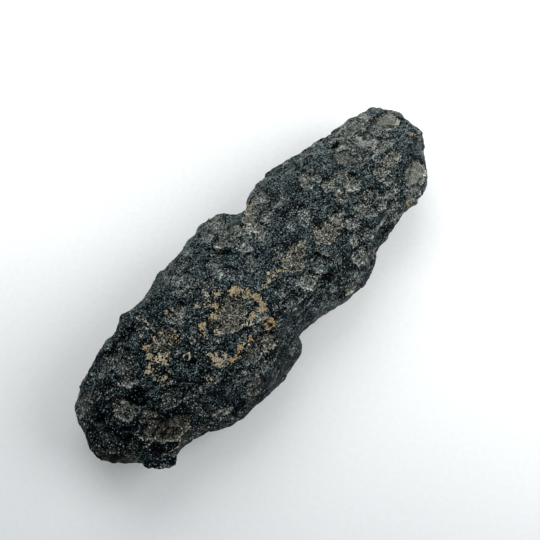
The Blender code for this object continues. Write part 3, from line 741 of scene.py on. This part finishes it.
    def scatter_pits(self, low, high, count, steepness, floor_low, floor_high):
        """Random small pits all over, cut into whatever is there."""
        cut = np.zeros(self.count)
        tone = np.full(self.count, -1.0)
        for _ in range(count):
            index = int(RANDOM.integers(self.count))
            radius = RANDOM.uniform(low, high)
            depth = RANDOM.uniform(*RANDOM_DEPTHS) * steepness * radius
            shade = RANDOM.uniform(floor_low, floor_high)
            rows, t, _ = self.near(index, radius)
            deep = depth * bowl_shape(t, PIT_FLATNESS)
            deeper = deep > cut[rows]
            cut[rows[deeper]] = deep[deeper]
            tone[rows[deeper]] = shade
        cut *= 1 - PITS_CALMED * self.marks["smooth"]
        self.height -= cut
        marked = tone >= 0.0
        blend = np.clip(cut[marked] / (MARKED_PIT * steepness * high), 0, 1) * PIT_MARK
        self.marks["floor"][marked] += blend * (tone[marked] - self.marks["floor"][marked])
        self.strengthen("inside", PIT_INSIDE * blend * tone[marked], marked)

    def raise_lips(self):
        """Bowls' lips stand where no other bowl cuts them away."""
        self.height += self.lips * soft_step(*LIP_FADE, self.height)

    def raise_edges(self):
        """The long edges of the table, each with a painted highlight on its crest and painted shade at its
        foot.
        """
        for raised, width, drop, light, dark, line in EDGES:
            gap, side = to_line(self.seen, line)
            near = gap < EDGE_REACH
            gap, side, facing = gap[near], side[near], self.facing[near]
            lift = raised * hump(gap, 0.0, width)
            if drop:
                low = side * np.sign(drop) > 0.0
                lift = lift - abs(drop) * low * soft_step(*DROP_FADE, gap)
            self.height[near] += lift * facing
            # A painted highlight on the crest, partly wear, and painted shade at the foot on the low side.
            self.strengthen("rim", light * hump(gap, *EDGE_LIGHT) * facing, near)
            foot = dark * hump(gap, *EDGE_FOOT) * facing
            self.strengthen("crease_shade", foot * (side * np.sign(drop or 1.0) > 0.0), near)

    def raise_ledges(self):
        """Ledges along the steep sides, here and there, with a painted highlight on the edge and painted
        shade below.
        """
        spacing, raised, light, dark = LEDGES
        wobble = np.zeros(self.count)
        for layer, (size, wavelength) in enumerate(LEDGE_WOBBLE, LEDGE_LAYER):
            wobble += size * lumps(self.points, wavelength, layer)
        phase = self.points[:, 2] / spacing + wobble
        gap = abs(phase - np.round(phase)) * spacing
        steep = soft_step(*LEDGE_TOP, self.normals[:, 2]) * soft_step(*LEDGE_BOTTOM, self.normals[:, 2])
        places = lumps(self.points, LEDGE_PATCHES, layer + 1)
        patchy = soft_step(*LEDGE_PATCH_EDGE, places) * steep
        self.height += raised * patchy * hump(gap, 0.0, LEDGE_WIDTH)
        # A painted highlight on each ledge's edge, and painted shade below it.
        self.strengthen("rim", light * patchy * hump(gap, 0.0, LEDGE_LIGHT_WIDTH))
        below = (phase - np.round(phase) < 0.0) * hump(gap, *LEDGE_FOOT)
        self.strengthen("crease_shade", dark * below * patchy)

    def roughen(self):
        """Grain, finer and lower layer by layer, and weaker on smooth patches."""
        rough = 1 - GRAIN_CALMED * self.marks["smooth"]
        for layer, (wavelength, size) in enumerate(GRAIN, GRAIN_LAYER):
            self.height += size * lumps(self.points, wavelength, layer) * rough

    def lay_clay(self):
        """Marks where clay lies: about 1 in the middle of a patch, and 0.5 at its edge."""
        self.marks["pale"] += DUST_PALENESS
        for amount in self.patches(CLAY_DUST, DUST_FADE):
            self.strengthen("clay", amount)
        for x, y, rx, ry, paleness in CLAY:
            t = in_ellipse(self.seen, x, y, rx, ry)
            beyond = (t - 1.0) * math.sqrt(rx * ry)
            amount = np.where(t < 1.0, 1.1 - 0.6 * t, 0.5 - 0.45 * beyond)
            self.lay(np.clip(amount, 0, 1) * self.facing, paleness)
        for x, y, radius, thickness, paleness in CLAY_RINGS:
            gap = abs(np.hypot(self.seen[:, 0] - x, self.seen[:, 1] - y) - radius) / thickness
            self.lay(np.clip(1.5 - gap, 0, 1) * 0.9 * self.facing, paleness)

    def lay(self, amount, paleness):
        """Lays clay where it is more than what lies there already."""
        more = amount > self.marks["clay"]
        self.marks["clay"][more] = amount[more]
        self.marks["pale"][more] = paleness

    def shade(self):
        """Marks the broad lighter and darker stretches: painted light and shade, partly the stone's own
        tone.
        """
        steep = soft_step(*STEEP, self.normals[:, 2])
        side = soft_step(*FAR_SIDE, self.normals[:, 1])
        # Painted light on the steep far side, and painted shade on the steep near side.
        tone = (STEEP_LIGHT * side - NEAR_SIDE_DARK * (1 - side)) * steep
        tone += np.interp(self.points[:, 1], *np.array(ACROSS_TONES).T)
        share = UNSEEN_SHARE + (1 - UNSEEN_SHARE) * self.facing
        shade = np.interp(self.points[:, 0], *np.array(END_TONES).T) + tone * share
        # The stretches of SHADES: partly painted light and shade.
        for tone in self.patches(SHADES, SHADE_FADE):
            shade += tone
        self.marks["shade"] = shade

    def finish(self):
        """Moves the points, marks painted light and shade on high, low and tilted places, and writes the
        marks.
        """
        moved = self.points + self.normals * self.height[:, None]
        moved[:, 2] = np.maximum(moved[:, 2], 0.0)
        # Ridges are painted lighter and low places darker: painted light and shade.
        around = smoothed(self.height[:, None], self.edges, RIDGE_ROUNDS)[:, 0]
        self.marks["ridge_light_and_shade"] = np.clip((self.height - around) / FULL_RIDGE, -1.0, 1.0)
        # Places tilted towards the light are painted lighter, and those tilted away darker.
        tilt = (normals_of(self.mesh, moved) - self.normals) @ np.array(PAINTED_LIGHT_FROM)
        tilt = smoothed(tilt[:, None], self.edges, TILT_ROUNDS)[:, 0]
        self.marks["tilt"] = np.clip(tilt / FULL_TILT, -MOST_TILT, MOST_TILT)
        for name, values in self.marks.items():
            attribute = self.mesh.attributes.new(name, "FLOAT", "POINT")
            attribute.data.foreach_set("value", values.astype(np.float32))
        self.mesh.update()
        return self.mesh


def make_skin(source):
    """The stone's skin: random and seen bowls first, then what is cut into them or stands on them."""
    skin = Skin(fine_mesh(source))
    skin.calm()
    for row in BACK_BOWLS:
        skin.scatter_bowls(*row, everywhere=False)
    skin.scatter_bowls(*FILL_BOWLS, everywhere=True)
    skin.carve_seen_bowls()
    skin.raise_lips()
    skin.carve_hollows()
    skin.raise_edges()
    skin.raise_ledges()
    for row in SMALL_PITS:
        skin.scatter_pits(*row)
    skin.roughen()
    skin.lay_clay()
    skin.shade()
    mesh = thinned(skin.finish())
    mesh.shade_smooth()
    return mesh


# ---- Code: the glass and its clay

class Nodes:
    """Short ways to add and join shader nodes."""

    def __init__(self, material):
        material.use_nodes = True
        self.tree = material.node_tree
        self.tree.nodes.clear()

    def add(self, kind, inputs=(), **settings):
        node = self.tree.nodes.new(kind)
        for name, value in settings.items():
            setattr(node, name, value)
        for name, value in dict(inputs).items():
            self.feed(node.inputs[name], value)
        return node

    def feed(self, socket, value):
        """Joins a socket to another node's output, or sets it to a value."""
        if isinstance(value, bpy.types.NodeSocket):
            self.tree.links.new(value, socket)
        else:
            socket.default_value = value

    def mark(self, name):
        return self.add("ShaderNodeAttribute", attribute_name=name).outputs["Fac"]

    def math(self, operation, first, second=0.0):
        return self.add("ShaderNodeMath", {0: first, 1: second}, operation=operation).outputs[0]

    def plus(self, first, second):
        return self.math("ADD", first, second)

    def times(self, first, second):
        return self.math("MULTIPLY", first, second)

    def level(self, value, mean, spread):
        """How many of its own spreads a value lies from its mean."""
        return self.math("DIVIDE", self.math("SUBTRACT", value, mean), spread)

    def spread(self, value, low, high, out_low=0.0, out_high=1.0):
        """Goes from one result to another, as the value goes from low to high."""
        rows = {"Value": value, "From Min": low, "From Max": high, "To Min": out_low, "To Max": out_high}
        return self.add("ShaderNodeMapRange", rows).outputs[0]

    def between(self, amount, at_none, at_full):
        """Goes from one result to another, as an amount goes from 0 to 1."""
        return self.spread(amount, 0.0, 1.0, at_none, at_full)

    def line(self, value, middle, outer, inner):
        """A line where a value passes its middle."""
        return self.spread(self.math("ABSOLUTE", self.plus(value, -middle)), outer, inner)

    def noise(self, where, wavelength, detail, roughness):
        rows = {"Vector": where, "Scale": 1.0 / (wavelength * MM), "Detail": detail, "Roughness": roughness}
        return self.add("ShaderNodeTexNoise", rows).outputs["Fac"]

    def cells(self, where, size):
        """Distance to the nearest of many scattered points, about a size apart."""
        rows = {"Vector": where, "Scale": 1.0 / (size * MM)}
        return self.add("ShaderNodeTexVoronoi", rows).outputs["Distance"]

    def vector(self, operation, inputs):
        return self.add("ShaderNodeVectorMath", inputs, operation=operation).outputs[0]

    def scaled(self, colour, amount):
        return self.vector("SCALE", {0: colour, "Scale": amount})

    def bent(self, where, wavelength, size):
        """The same place, pushed about so that round things come out uneven."""
        rows = {"Vector": where, "Scale": 1.0 / (wavelength * MM), "Detail": 2.0}
        push = self.add("ShaderNodeTexNoise", rows).outputs["Color"]
        centred = self.vector("SUBTRACT", {0: push, 1: (0.5, 0.5, 0.5)})
        return self.vector("ADD", {0: where, 1: self.scaled(centred, 2.0 * size * MM)})

    def mix(self, amount, first, second):
        """The first colour, and the second where the amount is 1."""
        node = self.add("ShaderNodeMix", data_type="RGBA")
        for index, value in ((0, amount), (6, first), (7, second)):
            self.feed(node.inputs[index], (*value, 1.0) if isinstance(value, tuple) else value)
        return node.outputs[2]

    def bump(self, height, strength, distance):
        rows = {"Height": height, "Strength": strength, "Distance": distance * MM}
        return self.add("ShaderNodeBump", rows).outputs["Normal"]

    def finish(self, inputs):
        """The surface, from the inputs of a Principled BSDF."""
        shader = self.add("ShaderNodeBsdfPrincipled", inputs)
        out = self.add("ShaderNodeOutputMaterial", {"Surface": shader.outputs["BSDF"]})
        out.is_active_output = True


class Glass(Nodes):
    """The stone's material, made from the marks on its skin and from noise."""

    def __init__(self, material):
        super().__init__(material)
        where = self.add("ShaderNodeTexCoord").outputs["Object"]
        self.fine = self.noise(where, *FINE_NOISE)
        self.middling = self.noise(where, *MIDDLE_NOISE)
        self.coarse = self.noise(where, *COARSE_NOISE)
        self.dots = self.cells(self.bent(where, *DOT_BEND), DOT_SIZE)
        self.ringlets = self.cells(self.bent(where, *RINGLET_BEND), RINGLET_SIZE)
        self.light_worms = self.noise(where, *LIGHT_WORMS)
        self.dark_worms = self.noise(self.bent(where, *DARK_WORM_BEND), *DARK_WORMS)
        self.smooth = self.mark("smooth")
        edge = self.plus(self.mark("inside"), self.spread(self.middling, *EDGE_MIDDLE))
        self.edge = self.plus(edge, self.spread(self.fine, *EDGE_FINE))
        pale = self.spread(self.mark("floor"), *FLOOR_COVER)
        self.cover = self.times(self.spread(self.edge, *FLOOR_EDGE), pale)

    def grain(self):
        """The fine grain, which is weaker on bowl floors."""
        amount = self.between(self.cover, FINE_GRAIN, GRAIN_ON_FLOORS * FINE_GRAIN)
        return self.times(self.spread(self.fine, *GRAIN_SPREAD), amount)

    def broken(self, value, line, noise, breaks):
        """A thin line that is fainter, or missing, here and there."""
        return self.times(self.line(value, *line), self.spread(noise, *breaks))

    def glints(self):
        """Light specks, mostly on the ground: painted glints."""
        uneven = self.plus(self.dots, self.spread(self.middling, *SPECK_MIDDLE))
        return self.times(self.spread(uneven, *SPECK_EDGE), self.between(self.cover, 1.0, GLINT_SPECKS_ON_FLOORS))

    def texture(self):
        """The tone that comes from noise alone, weaker where the skin is smooth."""
        tone = self.grain()
        for value, amount in (
            (self.broken(self.edge, OUTLINE, self.coarse, OUTLINE_BREAKS), OUTLINE_TONE),
            (self.level(self.middling, *MIDDLE_LEVEL), MIDDLE_GRAIN),
            (self.level(self.coarse, *COARSE_LEVEL), CLOUDS),
            (self.glints(), GLINT_SPECKS),
            (self.broken(self.ringlets, RINGLET, self.coarse, RINGLET_BREAKS), RINGLETS),
            (self.broken(self.light_worms, WORM, self.middling, LIGHT_WORM_BREAKS), LIGHT_WORM_TONE),
            (self.broken(self.dark_worms, WORM, self.fine, DARK_WORM_BREAKS), DARK_WORM_TONE),
        ):
            tone = self.plus(tone, self.times(value, amount))
        return self.times(tone, self.between(self.smooth, 1.0, SMOOTH_TEXTURE))

    def tone(self):
        """How much lighter or darker than its middle tone each place is, painted highlights and shade
        included.
        """
        # Painted highlights on rims and edges, and painted light and shade from creases, tilts, hollows and
        # ridges.
        rim = self.times(self.mark("rim"), self.spread(self.middling, *RIM_BREAKS))
        tone = self.plus(self.texture(), self.times(rim, RIM_HIGHLIGHT_TONE))
        for name, amount in MARK_TONES:
            tone = self.plus(tone, self.times(self.mark(name), amount))
        # The broad tones: painted light and shade, partly the stone's own tone.
        shade = self.times(self.mark("shade"), self.between(self.cover, 1.0, SHADE_ON_FLOORS))
        return self.plus(self.plus(tone, shade), self.between(self.cover, GROUND_TONE, FLOOR_TONE))

    def glass_colour(self):
        """Blue-black ground, and the matt grey or brown floors of bowls."""
        tone = self.tone()
        ground = self.mix(self.spread(tone, *GROUND_TONES), GROUND_DARK, GROUND_LIGHT)
        floor = self.mix(self.mark("warm"), FLOOR_COOL, FLOOR_WARM)
        strength = self.math("POWER", self.math("MAXIMUM", self.plus(tone, 1.0), DARKEST), TONE_POWER)
        return self.scaled(self.mix(self.cover, ground, floor), self.math("MINIMUM", strength, LIGHTEST))

    def clay_cover(self):
        """Crumbs of clay that thin out from the middle of each patch."""
        ragged = self.plus(self.mark("clay"), self.spread(self.fine, *CLAY_FINE))
        ragged = self.plus(ragged, self.spread(self.middling, *CLAY_MIDDLE))
        return self.spread(ragged, *CLAY_EDGE)

    def clay_colour(self):
        """From orange through tan to cream, with dark grains."""
        pale = self.mark("pale")
        clay = self.mix(self.spread(pale, 0.0, 0.5), CLAY_ORANGE, CLAY_TAN)
        clay = self.mix(self.spread(pale, 0.5, 1.0), clay, CLAY_CREAM)
        return self.mix(self.spread(self.fine, *CLAY_GRAINS), clay, CLAY_DARK)

    def roughness(self, clay_cover):
        """Glass is glossier than bowl floors, and both are glossier than clay."""
        rough = self.spread(self.cover, 0.0, 0.7, GLASS_ROUGHNESS, FLOOR_ROUGHNESS)
        rough = self.plus(rough, self.spread(self.fine, *ROUGH_FINE))
        return self.math("MAXIMUM", rough, self.between(clay_cover, 0.0, CLAY_ROUGHNESS))

    def relief(self):
        """The finest relief, lower where the skin is smooth."""
        relief = self.plus(self.spread(self.middling, *RELIEF_MIDDLE), self.spread(self.dots, *RELIEF_DOTS))
        relief = self.plus(relief, self.spread(self.fine, *RELIEF_FINE))
        relief = self.times(relief, self.between(self.smooth, 1.0, SMOOTH_RELIEF))
        return self.bump(relief, 1.0, BUMP)


def glass_material():
    material = bpy.data.materials.new("tektite_glass")
    glass = Glass(material)
    clay_cover = glass.clay_cover()
    glass.finish({
        "Base Color": glass.mix(clay_cover, glass.glass_colour(), glass.clay_colour()),
        "Roughness": glass.roughness(clay_cover),
        "IOR": GLASS_IOR,
        "Specular IOR Level": GLOSS,
        "Normal": glass.relief(),
    })
    return material


# ---- Code: the studio

def paper_material():
    material = bpy.data.materials.new("paper")
    nodes = Nodes(material)
    where = nodes.add("ShaderNodeTexCoord").outputs["Object"]
    grain = nodes.noise(where, *PAPER_GRAIN)
    apart = nodes.add("ShaderNodeSeparateXYZ", {"Vector": where})
    # A painted falloff of light: the paper's colour darkens away from the light.
    along = nodes.plus(apart.outputs["X"], nodes.times(apart.outputs["Y"], DIM_SLANT))
    dim = nodes.spread(along, DIM_FROM_TO[0] * MM, DIM_FROM_TO[1] * MM, DIM_MOST, 0.0)
    paper = nodes.mix(nodes.spread(grain, *PAPER_SPREAD), *PAPER_TONES)
    nodes.finish({
        "Base Color": nodes.mix(dim, paper, PAPER_DIM),
        "Roughness": PAPER_ROUGHNESS,
        "Normal": nodes.bump(grain, PAPER_BUMP_STRENGTH, PAPER_BUMP),
    })
    return material


def make_floor():
    mesh = bpy.data.meshes.new("floor")
    corners = [(-1, -1, 0), (1, -1, 0), (1, 1, 0), (-1, 1, 0)]
    mesh.from_pydata([Vector(corner) * FLOOR_HALF for corner in corners], [], [(0, 1, 2, 3)])
    mesh.materials.append(paper_material())
    floor = new_object("floor", mesh)


def point_at(thing, target):
    way = Vector(target) - thing.location
    thing.rotation_euler = way.to_track_quat("-Z", "Y").to_euler()


def make_light(name, size, power, place):
    data = bpy.data.lights.new(name, "AREA")
    data.shape = "DISK"
    data.size = size
    data.energy = power
    light = new_object(name, data)
    light.location = place
    point_at(light, LIGHTS_AIM)


def make_camera():
    data = bpy.data.cameras.new("camera")
    data.sensor_width = SENSOR
    data.lens = CAMERA_LENS
    data.clip_start = CLIP_START * MM
    camera = new_object("camera", data)
    camera.location = Vector(CAMERA_AT) * MM
    point_at(camera, Vector(CAMERA_LOOKS_AT) * MM)
    scene.camera = camera


def make_world():
    world = bpy.data.worlds.new("world")
    nodes = Nodes(world)
    sky = nodes.add("ShaderNodeBackground", {"Color": SKY_COLOUR, "Strength": SKY_STRENGTH})
    nodes.add("ShaderNodeOutputWorld", {"Surface": sky.outputs["Background"]})
    scene.world = world


mesh = make_skin(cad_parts["tektite"])
mesh.materials.clear()
mesh.materials.append(glass_material())
stone = new_object("tektite_skin", mesh)
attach(stone, "root")
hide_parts("tektite")

make_floor()
make_world()
for row in LIGHTS:
    make_light(*row)
make_camera()
scene.view_settings.view_transform = "Standard"
scene.view_settings.look = "None"
